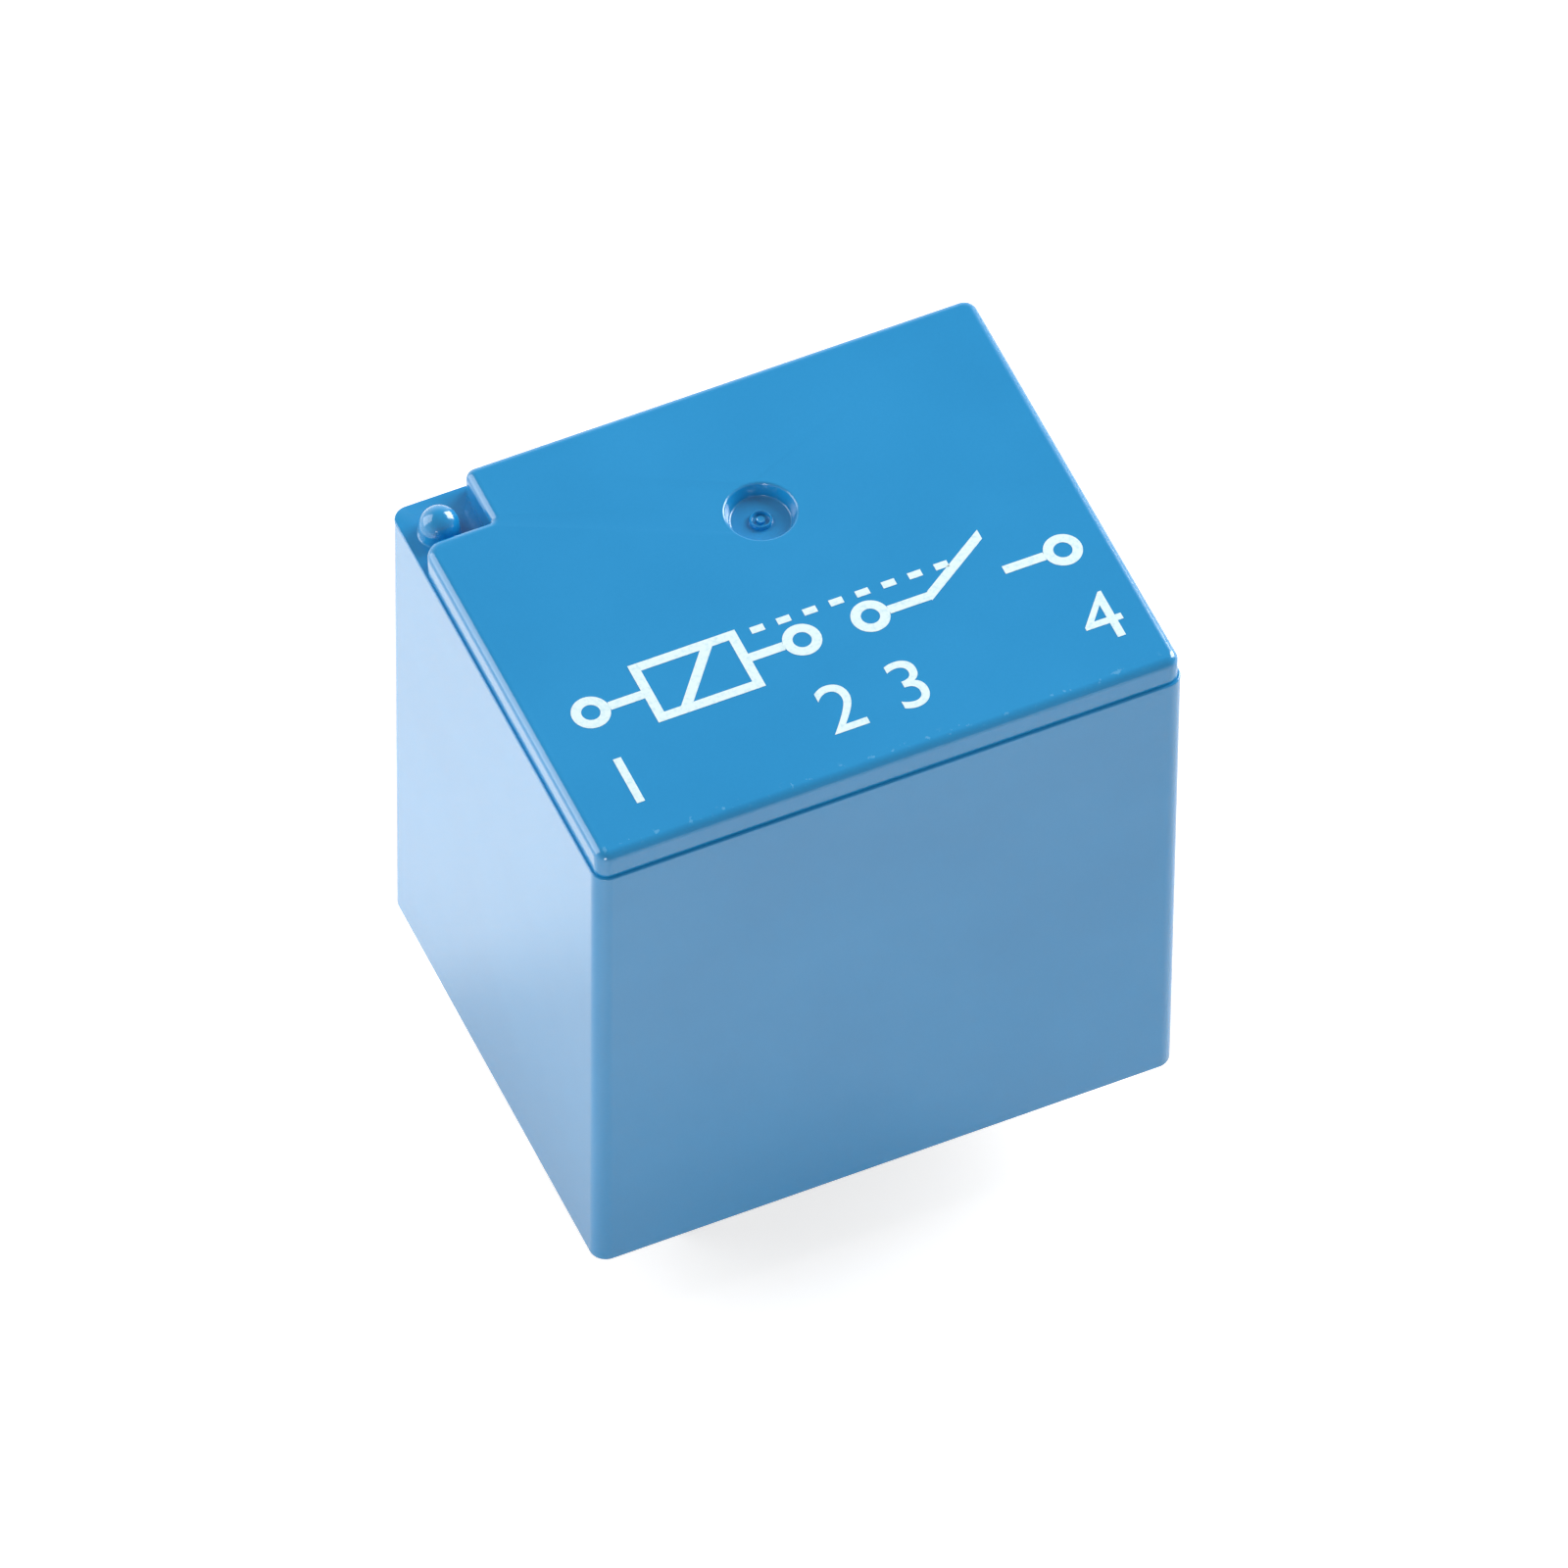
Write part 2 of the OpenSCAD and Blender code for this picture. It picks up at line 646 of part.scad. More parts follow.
module back_stop() {
    plate_top = stop_z - strip_bend_r;
    color("goldenrod") {
        upright_strip(strip_in, strip_t) {
            translate([stop_leg_y, base_top - stop_root])
                square([stop_leg_w, plate_top - base_top + stop_root]);
            translate([stop_leg_y, plate_top - stop_cross_h])
                square([arm_w / 2 - stop_leg_y, stop_cross_h]);
        }
        contact_arm(stop_z);
    }
}

// Moving parts

// The spring's side view: a leg on the yoke, a bend over the hinge and a level run, offset
// by d from its middle line
function leaf_edge(d) = concat(
    [[leaf_x - d, leaf_z]],
    [for (i = [0 : bend_steps])
        let (turn = 180 - i * (90 - open_angle) / bend_steps)
        [bend_x, bend_z] + (bend_r + d) * [cos(turn), sin(turn)]],
    [[bend_x, bend_z] + (bend_r + d) * [-sin(open_angle), cos(open_angle)]
        + leaf_run * [cos(open_angle), sin(open_angle)]]);

// The spring's outline from above: wide on the armature, narrow at the contact
module leaf_plan() {
    taper_x = coil_x + arm_r;
    back_x = hinge_x - 2 * spring_room;
    polygon([[back_x, -leaf_w / 2], [coil_x, -leaf_w / 2], [taper_x, -tongue_r],
             [contact_x, -tongue_r], [contact_x, tongue_r], [taper_x, tongue_r],
             [coil_x, leaf_w / 2], [back_x, leaf_w / 2]]);
    translate([contact_x, 0]) circle(tongue_r);
}

module contact_spring() {
    edge = leaf_edge(leaf_t / 2);
    back = leaf_edge(-leaf_t / 2);
    color("khaki") difference() {
        intersection() {
            rotate([90, 0, 0]) linear_extrude(leaf_w + cut, center = true)
                polygon(concat(edge, [for (i = [len(back) - 1 : -1 : 0]) back[i]]));
            opened() linear_extrude(case_h) leaf_plan();
        }
        // window that softens the bend
        translate([yoke_out - cut, -window_w / 2, bend_z - window_reach])
            cube([bend_x - yoke_out + window_reach + cut, window_w, case_h]);
        rivet_holes(yoke_out - leaf_t, leaf_t, leaf_rivet_z, [-rivet_pitch / 2, rivet_pitch / 2]);
        opened() arm_rivet_holes();
        opened() translate([contact_x, 0, hinge_z + arm_t - cut])
            cylinder(d = shank_d + 2 * fit_gap, h = leaf_t + 2 * cut);
    }
}

module arm_rivet_holes() {
    for (y = [-1, 1]) translate([arm_rivet_x, y * rivet_pitch / 2, hinge_z - cut])
        cylinder(d = shank_d + 2 * fit_gap, h = arm_t + leaf_t + 2 * cut);
}

module armature() {
    color("darkgray") opened() difference() {
        translate([0, 0, hinge_z]) linear_extrude(arm_t) {
            translate([hinge_x, -arm_r]) square([coil_x - hinge_x, 2 * arm_r]);
            translate([coil_x, 0]) circle(arm_r);
        }
        arm_rivet_holes();
    }
}

module armature_rivets() {
    color("peru") opened() for (y = [-1, 1])
        translate([arm_rivet_x, y * rivet_pitch / 2, hinge_z + arm_t + leaf_t])
            rotate([0, 90, 0]) rivet(arm_t + leaf_t);
}

module moving_contact() {
    color("silver") opened() translate([contact_x, 0, hinge_z + arm_t]) {
        mirror([0, 0, 1]) contact_head();
        cylinder(d = shank_d, h = leaf_t);
        translate([0, 0, leaf_t]) cylinder(d = tail_d, h = tail_h);
    }
}

cover();
base();
sealing_resin();
yoke();
core();
bobbin();
coil_winding();
coil_pin_a();
coil_pin_b();
coil_solder();
com_terminal();
com_rivet();
spring_rivets();
no_terminal();
no_contact();
back_stop();
contact_spring();
armature();
armature_rivets();
moving_contact();
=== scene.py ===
"""Looks of a sealed cube power relay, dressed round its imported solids. Metres, +Z up."""
import json
import math

import bmesh
import bpy
from mathutils import Matrix, Vector


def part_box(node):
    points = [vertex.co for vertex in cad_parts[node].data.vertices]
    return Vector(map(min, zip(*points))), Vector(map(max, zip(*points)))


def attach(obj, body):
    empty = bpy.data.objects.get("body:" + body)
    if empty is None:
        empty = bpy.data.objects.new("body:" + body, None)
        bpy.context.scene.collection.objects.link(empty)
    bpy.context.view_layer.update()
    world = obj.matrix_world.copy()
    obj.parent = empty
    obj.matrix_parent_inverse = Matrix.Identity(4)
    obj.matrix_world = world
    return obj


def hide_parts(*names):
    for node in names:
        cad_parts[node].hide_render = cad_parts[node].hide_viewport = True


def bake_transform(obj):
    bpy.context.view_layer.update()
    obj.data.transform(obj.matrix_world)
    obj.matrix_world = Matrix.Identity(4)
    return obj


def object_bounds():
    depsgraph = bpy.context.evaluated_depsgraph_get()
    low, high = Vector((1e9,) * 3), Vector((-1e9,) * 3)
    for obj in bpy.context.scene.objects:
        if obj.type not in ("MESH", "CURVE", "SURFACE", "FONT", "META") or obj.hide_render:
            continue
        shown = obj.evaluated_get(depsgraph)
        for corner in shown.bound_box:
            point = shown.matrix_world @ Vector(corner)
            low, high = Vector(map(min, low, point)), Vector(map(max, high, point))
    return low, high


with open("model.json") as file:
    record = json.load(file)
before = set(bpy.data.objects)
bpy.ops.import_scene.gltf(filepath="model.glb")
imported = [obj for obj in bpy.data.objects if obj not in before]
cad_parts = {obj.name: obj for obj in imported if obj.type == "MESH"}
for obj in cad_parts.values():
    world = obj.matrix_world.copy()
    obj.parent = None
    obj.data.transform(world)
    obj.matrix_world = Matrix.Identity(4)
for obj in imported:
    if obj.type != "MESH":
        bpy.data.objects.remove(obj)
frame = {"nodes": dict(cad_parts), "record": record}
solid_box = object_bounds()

MM = 0.001

# Cover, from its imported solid
case_low, case_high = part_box("cover")
CASE_X = case_high.x
CASE_Y = case_high.y
CASE_TOP = case_high.z
WALL = 0.8 * MM
REBATE = 0.15 * MM
ROOF = 1.4 * MM
CORNER_R = 0.55 * MM
INNER_R = 0.25 * MM
LID_H = 1.0 * MM
LID_INSET = 0.1 * MM
LID_EDGE_R = 0.3 * MM
LID_EDGE_STEPS = 6
SEAM_Z = CASE_TOP - LID_H
SEAM_EDGE_R = 0.05 * MM
RIM_EDGE_R = 0.08 * MM
EDGE_STEPS = 3
BASE_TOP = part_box("yoke")[0].z
CORNER_STEPS = 10

# Corner notch, vent nib and gate; angles in degrees, the scar by shares of its radius and height
NOTCH_L = 2.45 * MM
NOTCH_W = 2.3 * MM
NOTCH_OUT_R = (0.35 * MM, 0.6 * MM)
NOTCH_IN_R = 0.1 * MM
NIB_R = 0.65 * MM
NIB_H = 1.0 * MM
NIB_GAP = 0.25 * MM
NIB = Vector((-CASE_X + 1.1 * MM, CASE_Y - NOTCH_W + NIB_GAP + NIB_R, SEAM_Z))
NIB_FOOT_R = 0.06 * MM
NIB_DOME_END = 86
VENT = Vector((NIB.x, NIB.y, CASE_TOP - ROOF))
VENT_R = 0.25 * MM
VENT_SKIN = 0.3 * MM
GATE = Vector((0.3 * MM, 2.65 * MM, CASE_TOP))
GATE_R = 1.2 * MM
GATE_FLOOR_R = 1.0 * MM
GATE_DEPTH = 0.5 * MM
GATE_EDGE_R = 0.1 * MM
GATE_FOOT_R = 0.08 * MM
GATE_DRAFT = 15
GATE_RING_OUT = 0.38 * MM
GATE_RING_IN = 0.26 * MM
GATE_RING_H = 0.14 * MM
SCAR_R = 0.15 * MM
SCAR_H = 0.1 * MM
SCAR_PROFILE = ((1.0, 0.0), (0.85, 1.0), (0.4, 0.8))
ROUND_STEPS = 48

# Scuffs along the front edge of the lid: how far in they lie, how far they scatter, their size,
# and how much paler and rougher they are
SCUFF_IN = 0.43 * MM
SCUFF_BAND = 0.24 * MM
SCUFF_SIZE = 0.24 * MM
SCUFF_COLOUR = (0.14, 0.48, 0.78)
SCUFF_PALE = 0.45
SCUFF_ROUGH = 0.3

# Resin under the base: how far it creeps along and up the walls and the pins
RESIN_R = 0.25 * MM
CREEP_WALL = (0.13 * MM, 0.18 * MM)
CREEP_PIN = (0.11 * MM, 0.22 * MM)
CREEP_STEPS = 5
CREEP_EDGE = 0.02 * MM

# Half the section of a flat pin
BLADE = (0.25 * MM, 0.5 * MM)

# Turns of wire on the coil: how deep they are set and how far they stand out
WIRE_D = 0.11 * MM
TURN_RISE = 0.035 * MM
TURN_CROWN = TURN_RISE * 0.8
COIL_STEPS = 96

# Print on the lid; its plan is in millimetres, and a digit fills DIGIT_SHARE of its font size
INK_T = 0.012 * MM
INK_Z = CASE_TOP - INK_T / 4
LINE_W = 0.32
DIGIT_H = 1.9
DIGIT_SHARE = 0.7
RING_R = 0.62
RING_STEPS = 40
NUMBER_Y = -5.5
DIAGRAM_Y = -2.5
TERMINAL_X = (-7.7, -0.6, 1.7, 8.2)
COIL_X = -4.15
COIL_BOX = (1.8, 1.2)
SLASH_LEAN = 0.8
SLASH_HALF = LINE_W * 0.65
ARM_X = (3.7, 6.2)
ARM_RISE = 1.6
ARM_SHORT = 0.1
ARM_HALF = LINE_W * 0.6
LINK_RISE = 0.95
LINK_DASHES = 8
LINK_GAP = 1.4 * LINE_W
LINK_HALF = LINE_W * 0.4

# Points closer than TINY are one, points as close to an outline as NEAR lie on it, and faces that
# meet at less than FLAT_ANGLE are one
TINY = 1e-7
NEAR = 1e-6
FLAT_ANGLE = math.radians(0.5)
SOFT_STEPS = 2

# The photograph's camera
CAMERA_AZIMUTH = math.radians(-24.52)
CAMERA_ELEVATION = math.radians(51.73)
CAMERA_ROLL = math.radians(0.62)
CAMERA_DISTANCE = 862.6 * MM
CAMERA_LENS = 637.14
CAMERA_CLIP = (0.01, 10.0)
SENSOR = 36.0
FRAME_PIXELS = 1600
CENTRE_PIXEL = (800.7, 794.5)

# Light of the white surround, brighter behind than in front and dim overhead, and what the camera
# sees of it
SURROUND = 0.62
SURROUND_SLOPE = (-0.1, 0.3, 0.0)
OVERHEAD = 0.25
OVERHEAD_START = 0.25
OVERHEAD_END = 0.75
BACKDROP = 1.05
WHITE = (1.0, 1.0, 1.0)

# The floor and its glow: what the camera sees of it, and the least and the most that reflections
# see, which grows to the left of the relay and behind it
FLOOR_R = 1.2
FLOOR_STEPS = 64
FLOOR_GREY = (0.86, 0.86, 0.86)
FLOOR_GLOW = 0.64
GLOSS_GLOW = (0.08, 0.32)
GLOSS_START = -1.0
GLOSS_SLOPE = (-135.0, 27.0, 0.0)

# Soft lights on each side and low in front: direction, width and height, and watts
LIGHT_DISTANCE = 0.42
LIGHTS = {
    "left_light": ((-0.72, 0.57, 0.40), (0.30, 0.45), 1.05),
    "right_light": ((0.82, 0.24, 0.52), (0.26, 0.26), 1.85),
    "front_light": ((-0.55, -0.8, 0.2), (0.1, 0.1), 0.27),
}


class Wire:
    """An output of a material's graph. Sums and products of wires add Math nodes."""

    def __init__(self, graph, socket):
        self.graph = graph
        self.socket = socket

    def math(self, operation, *values):
        settings = {"operation": operation}
        return self.graph.node("ShaderNodeMath", settings, dict(enumerate(values)))

    def __add__(self, other):
        return self.math("ADD", self, other)

    def __sub__(self, other):
        return self.math("SUBTRACT", self, other)

    def __rsub__(self, other):
        return self.math("SUBTRACT", other, self)

    def __mul__(self, other):
        return self.math("MULTIPLY", self, other)

    __radd__ = __add__
    __rmul__ = __mul__

    def clamped(self):
        return self.math("MINIMUM", self.math("MAXIMUM", self, 0.0), 1.0)


class Graph:
    """A node tree with one method that adds any node, sets it and links its sockets."""

    def __init__(self, tree):
        self.tree = tree
        self.tree.nodes.clear()

    def node(self, kind, settings=None, sockets=None, output=0):
        made = self.tree.nodes.new(kind)
        for name, value in (settings or {}).items():
            if name == "stops":
                ramp = made.color_ramp.elements
                while len(ramp) < len(value):
                    ramp.new(1.0)
                for element, (place, colour) in zip(ramp, value):
                    element.position = place
                    element.color = (*colour, 1.0)
            else:
                setattr(made, name, value)
        for key, value in (sockets or {}).items():
            if isinstance(value, Wire):
                self.tree.links.new(value.socket, made.inputs[key])
            elif isinstance(value, tuple) and made.inputs[key].type == "RGBA":
                made.inputs[key].default_value = (*value, 1.0)
            else:
                made.inputs[key].default_value = value
        return Wire(self, made.outputs[output]) if made.outputs else None

    def place(self, scale=(1.0, 1.0, 1.0), turn=(0.0, 0.0, 0.0)):
        """The point on the piece, turned and stretched."""
        point = self.node("ShaderNodeTexCoord", output="Object")
        return self.node("ShaderNodeMapping", None,
                         {"Vector": point, "Scale": scale, "Rotation": turn})

    def noise(self, size, detail=2.0, stretch=(1.0, 1.0, 1.0), turn=(0.0, 0.0, 0.0)):
        """Noise from 0 to 1 whose spots are about the given size."""
        return self.node("ShaderNodeTexNoise", None,
                         {"Vector": self.place(stretch, turn), "Scale": 1.0 / size, "Detail": detail})

    def peaks(self, size, detail, gain, drop):
        """Noise with only its peaks left, 0 to 1."""
        return (self.noise(size, detail) * gain - drop).clamped()

    def blend(self, factor, first, second):
        """Two colours mixed by a factor."""
        return self.node("ShaderNodeMix", {"data_type": "RGBA"},
                         {0: factor, 6: first, 7: second}, output=2)

    def ramp(self, factor, stops):
        """A colour between stops of (place, colour)."""
        return self.node("ShaderNodeValToRGB", {"stops": stops}, {"Fac": factor})

    def bump(self, height, depth, below=None):
        """Bump of the given depth in metres, over another one if there is one."""
        sockets = {"Height": height, "Distance": depth, "Strength": 1.0}
        if below is not None:
            sockets["Normal"] = below
        return self.node("ShaderNodeBump", None, sockets)

    def output(self, shader, kind="ShaderNodeOutputMaterial"):
        """Ends the graph with a shader."""
        self.node(kind, None, {"Surface": shader})


def new_material(name):
    """A material with an empty graph."""
    material = bpy.data.materials.new(name)
    material.use_nodes = True
    return material, Graph(material.node_tree)


def plastic_shader(graph, colour, roughness, normal, **more):
    """Ends a graph with plastic; more sockets are named with underscores."""
    sockets = {"Base Color": colour, "Roughness": roughness, "Normal": normal}
    sockets.update({key.replace("_", " "): value for key, value in more.items()})
    graph.output(graph.node("ShaderNodeBsdfPrincipled", None, sockets))


def metal_shader(graph, colour, roughness, normal):
    """Ends a graph with bare metal."""
    graph.output(graph.node("ShaderNodeBsdfPrincipled", None, {
        "Base Color": colour, "Metallic": 1.0, "Roughness": roughness, "Normal": normal}))


def lid_scuffs(g):
    """Small scuffs, 0 to 1, in a band just inside the front edge of the lid."""
    place = g.place()
    y, z = (g.node("ShaderNodeSeparateXYZ", None, {"Vector": place}, output=axis) for axis in "YZ")
    off_band = y.math("ABSOLUTE", y + (CASE_Y - SCUFF_IN))
    band = (1.0 - off_band * (1.0 / SCUFF_BAND)).clamped()
    on_top = ((z - (CASE_TOP - LID_EDGE_R)) * (1.0 / LID_EDGE_R)).clamped()
    return g.peaks(SCUFF_SIZE, 3.0, 10.0, 6.0) * band * on_top


def case_plastic():
    """Glossy blue moulded plastic: flow clouds, faint grain, shallow sink marks and scuffs."""
    material, g = new_material("case_plastic")
    clouds = g.noise(6 * MM, 3.0)
    specks = g.noise(0.09 * MM, 2.0)
    colour = g.ramp(clouds * 0.8 + specks * 0.2, [
        (0.3, (0.009, 0.278, 0.612)), (0.5, (0.011, 0.294, 0.640)), (0.72, (0.014, 0.310, 0.668))])
    scuffs = lid_scuffs(g)
    colour = g.blend(scuffs * SCUFF_PALE, colour, SCUFF_COLOUR)
    sink = g.bump(g.noise(7 * MM, 1.0), 0.012 * MM)
    grain = g.bump(g.noise(0.06 * MM, 3.0), 0.0006 * MM, sink)
    rough = 0.13 + 0.08 * clouds + SCUFF_ROUGH * scuffs
    plastic_shader(g, colour, rough, grain, IOR=1.58,
                   Coat_Weight=0.75, Coat_Roughness=0.08, Coat_IOR=1.55)
    return material


def print_ink():
    """Pad-printed white ink, a little thin in spots."""
    material, g = new_material("print_ink")
    thin = g.noise(0.12 * MM, 3.0)
    colour = g.ramp(thin, [(0.25, (0.62, 0.86, 0.93)), (0.5, (0.80, 0.97, 1.0))])
    plastic_shader(g, colour, 0.35 + 0.2 * thin, g.bump(thin, 0.004 * MM))
    return material


def base_plastic():
    """Dark moulded plastic with a fine grain."""
    material, g = new_material("base_plastic")
    clouds = g.noise(2 * MM, 3.0)
    grain = g.noise(0.08 * MM, 4.0)
    colour = g.ramp(clouds * 0.6 + grain * 0.4, [
        (0.3, (0.014, 0.014, 0.016)), (0.75, (0.036, 0.036, 0.038))])
    plastic_shader(g, colour, 0.42 + 0.2 * grain, g.bump(grain, 0.004 * MM))
    return material


def resin():
    """Cast epoxy: dark, glossy, with slow waves and a few dust specks."""
    material, g = new_material("resin")
    waves = g.noise(3 * MM, 2.0)
    specks = g.peaks(0.16 * MM, 2.0, 9.0, 6.1)
    colour = g.blend(specks, (0.009, 0.009, 0.010), (0.075, 0.072, 0.068))
    rough = 0.12 + 0.14 * waves + 0.35 * specks
    plastic_shader(g, colour, rough, g.bump(waves, 0.03 * MM), Coat_Weight=0.5, Coat_Roughness=0.1)
    return material


def plated_steel():
    """Zinc-plated sheet: soft mottling over fine rolling lines."""
    material, g = new_material("plated_steel")
    mottle = g.noise(0.7 * MM, 3.0)
    lines = g.noise(0.05 * MM, 3.0, (0.04, 1.0, 1.0))
    colour = g.ramp(mottle, [
        (0.25, (0.50, 0.50, 0.47)), (0.6, (0.63, 0.63, 0.61)), (0.85, (0.72, 0.72, 0.71))])
    metal_shader(g, colour, 0.24 + 0.14 * mottle + 0.1 * lines, g.bump(lines, 0.0015 * MM))
    return material


def bobbin_plastic():
    """Ivory glass-filled plastic with short pale fibres."""
    material, g = new_material("bobbin_plastic")
    clouds = g.noise(2.5 * MM, 3.0)
    fibres = g.noise(0.05 * MM, 2.0, (0.25, 1.0, 1.0), (0.0, 0.0, 0.6))
    colour = g.ramp(clouds * 0.5 + fibres * 0.5, [
        (0.3, (0.50, 0.45, 0.34)), (0.5, (0.61, 0.56, 0.44)), (0.75, (0.70, 0.66, 0.55))])
    plastic_shader(g, colour, 0.38 + 0.2 * fibres, g.bump(fibres, 0.003 * MM))
    return material


def copper_wire():
    """Enamelled copper wire: warm bands from turn to turn under a clear coat."""
    material, g = new_material("copper_wire")
    bands = g.noise(0.4 * MM, 3.0, (0.12, 0.12, 1.0))
    spots = g.noise(0.25 * MM, 2.0)
    colour = g.ramp(bands * 0.7 + spots * 0.3, [
        (0.25, (0.36, 0.10, 0.030)), (0.5, (0.56, 0.19, 0.065)), (0.75, (0.72, 0.30, 0.115))])
    g.output(g.node("ShaderNodeBsdfPrincipled", None, {
        "Base Color": colour, "Metallic": 0.85, "Roughness": 0.26 + 0.14 * spots,
        "Normal": g.bump(spots, 0.002 * MM), "Coat Weight": 0.6, "Coat Roughness": 0.12}))
    return material


def tin(name, colours, streak):
    """Tin plate: bright, with streaks along one direction and a slight bloom."""
    material, g = new_material(name)
    bloom = g.noise(0.5 * MM, 3.0)
    streaks = g.noise(0.05 * MM, 2.0, streak)
    colour = g.ramp(bloom * 0.6 + streaks * 0.4, [
        (0.25, colours[0]), (0.6, colours[1]), (0.85, colours[2])])
    metal_shader(g, colour, 0.16 + 0.16 * bloom + 0.08 * streaks, g.bump(streaks, 0.0012 * MM))
    return material


def solder():
    """Bright solder with a rippled skin and traces of flux."""
    material, g = new_material("solder")
    skin = g.noise(0.3 * MM, 2.0)
    flux = g.peaks(0.5 * MM, 3.0, 4.0, 2.2)
    colour = g.blend(flux * 0.7, (0.74, 0.74, 0.75), (0.52, 0.44, 0.28))
    metal_shader(g, colour, 0.12 + 0.25 * flux + 0.1 * skin, g.bump(skin, 0.02 * MM))
    return material


def copper_rivet():
    """Upset copper: hammered face and a thin brown tarnish."""
    material, g = new_material("copper_rivet")
    tarnish = g.noise(0.45 * MM, 4.0)
    dents = g.noise(0.35 * MM, 1.0)
    colour = g.ramp(tarnish, [
        (0.25, (0.34, 0.15, 0.075)), (0.5, (0.62, 0.31, 0.17)), (0.8, (0.80, 0.46, 0.29))])
    metal_shader(g, colour, 0.22 + 0.25 * tarnish, g.bump(dents, 0.012 * MM))
    return material


def contact_silver():
    """Silver alloy with a grey-yellow sulphide bloom and fine pits."""
    material, g = new_material("contact_silver")
    sulphide = g.noise(0.6 * MM, 4.0)
    pits = g.noise(0.06 * MM, 2.0)
    colour = g.ramp(sulphide, [
        (0.25, (0.56, 0.51, 0.42)), (0.5, (0.80, 0.78, 0.73)), (0.8, (0.90, 0.89, 0.86))])
    metal_shader(g, colour, 0.14 + 0.2 * sulphide + 0.08 * pits, g.bump(pits, 0.002 * MM))
    return material


def spring_bronze():
    """Rolled spring bronze: long fine lines and a warm heat tint."""
    material, g = new_material("spring_bronze")
    lines = g.noise(0.035 * MM, 3.0, (0.03, 1.0, 0.03))
    tint = g.noise(2.5 * MM, 3.0)
    colour = g.ramp(tint * 0.7 + lines * 0.3, [
        (0.25, (0.47, 0.27, 0.12)), (0.55, (0.66, 0.42, 0.21)), (0.8, (0.78, 0.55, 0.31))])
    metal_shader(g, colour, 0.2 + 0.12 * tint + 0.08 * lines, g.bump(lines, 0.0012 * MM))
    return material


BRIGHT_TIN = [(0.56, 0.56, 0.55), (0.72, 0.72, 0.70), (0.82, 0.82, 0.81)]
BRASS_TIN = [(0.52, 0.48, 0.38), (0.70, 0.67, 0.60), (0.80, 0.79, 0.75)]
finishes = {
    "case_plastic": case_plastic(),
    "base_plastic": base_plastic(),
    "resin": resin(),
    "plated_steel": plated_steel(),
    "bobbin_plastic": bobbin_plastic(),
    "copper_wire": copper_wire(),
    "tinned_pin": tin("tinned_pin", BRIGHT_TIN, (1.0, 1.0, 0.05)),
    "solder": solder(),
    "tinned_strip": tin("tinned_strip", BRASS_TIN, (1.0, 1.0, 0.05)),
    "copper_rivet": copper_rivet(),
    "contact_silver": contact_silver(),
    "spring_bronze": spring_bronze(),
}
ink = print_ink()


def dress_solids():
    """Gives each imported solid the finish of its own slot."""
    for part in frame["record"]["subparts"]:
        mesh = frame["nodes"][part["node"]].data
        mesh.materials.clear()
        mesh.materials.append(finishes[part["material_slot"]])


def add_piece(name, bm, material, sharp_angle=40.0, soft=0.0):
    """Makes a bmesh a smooth-shaded object whose flats stay flat, and softens its sharp edges when soft
    is given.
    """
    bmesh.ops.recalc_face_normals(bm, faces=bm.faces)
    mesh = bpy.data.meshes.new(name)
    bm.to_mesh(mesh)
    bm.free()
    mesh.polygons.foreach_set("use_smooth", [True] * len(mesh.polygons))
    mesh.set_sharp_from_angle(angle=math.radians(sharp_angle))
    mesh.materials.append(material)
    piece = bpy.data.objects.new(name, mesh)
    bpy.context.scene.collection.objects.link(piece)
    if soft > 0.0:
        edges = piece.modifiers.new("soft_edges", "BEVEL")
        edges.width = soft
        edges.segments = SOFT_STEPS
        edges.limit_method = "ANGLE"
        edges.angle_limit = math.radians(sharp_angle)
    flats = piece.modifiers.new("flat_faces", "WEIGHTED_NORMAL")
    flats.keep_sharp = True
    return piece


def bevel(bm, geom, width, steps, affect="EDGES"):
    """Rounds edges or corners."""
    return bmesh.ops.bevel(bm, geom=geom, offset=width, offset_type="OFFSET", segments=steps,
                           profile=0.5, affect=affect, material=-1)


def of_kind(geom, kind):
    """Those of a mixed list that are of one kind."""
    return [g for g in geom if isinstance(g, kind)]


def round_plan(bm, corners, z, steps=CORNER_STEPS):
    """A level face through corners given as (x, y, radius)."""
    verts = [bm.verts.new((x, y, z)) for x, y, _ in corners]
    bm.faces.new(verts).normal_update()
    last = verts[-1]
    for vert, (_, _, radius) in zip(verts, corners):
        if radius > 0.0:
            last = bevel(bm, [vert], radius, steps, "VERTICES")["verts"][0]
    return last.link_faces[0]


def oblong(x, y, radius):
    """The corners of a rectangle of half length x and half width y."""
    return [(-x, -y, radius), (x, -y, radius), (x, y, radius), (-x, y, radius)]


def extruded(bm, face, lift, keep=False):
    """The face raised on new walls; the old one goes, unless it closes the other end."""
    made = bmesh.ops.extrude_face_region(bm, geom=[face])["geom"]
    if not keep:
        bmesh.ops.delete(bm, geom=[face], context="FACES_ONLY")
    raised = of_kind(made, bmesh.types.BMFace)[0]
    bmesh.ops.translate(bm, verts=raised.verts, vec=(0.0, 0.0, lift))
    return raised


def drawn(bm, edges, z, step=0.0):
    """New walls from a loop of edges to a height and a step further in; returns the loop there."""
    made = bmesh.ops.extrude_edge_only(bm, edges=edges)["geom"]
    for v in of_kind(made, bmesh.types.BMVert):
        x, y = (along - math.copysign(step, along) for along in v.co.xy)
        v.co = (x, y, z)
    return [e for e in of_kind(made, bmesh.types.BMEdge) if e.is_boundary]


def loop_of(bm, face):
    """The edges of a face, which is taken away."""
    edges = list(face.edges)
    bmesh.ops.delete(bm, geom=[face], context="FACES_ONLY")
    return edges


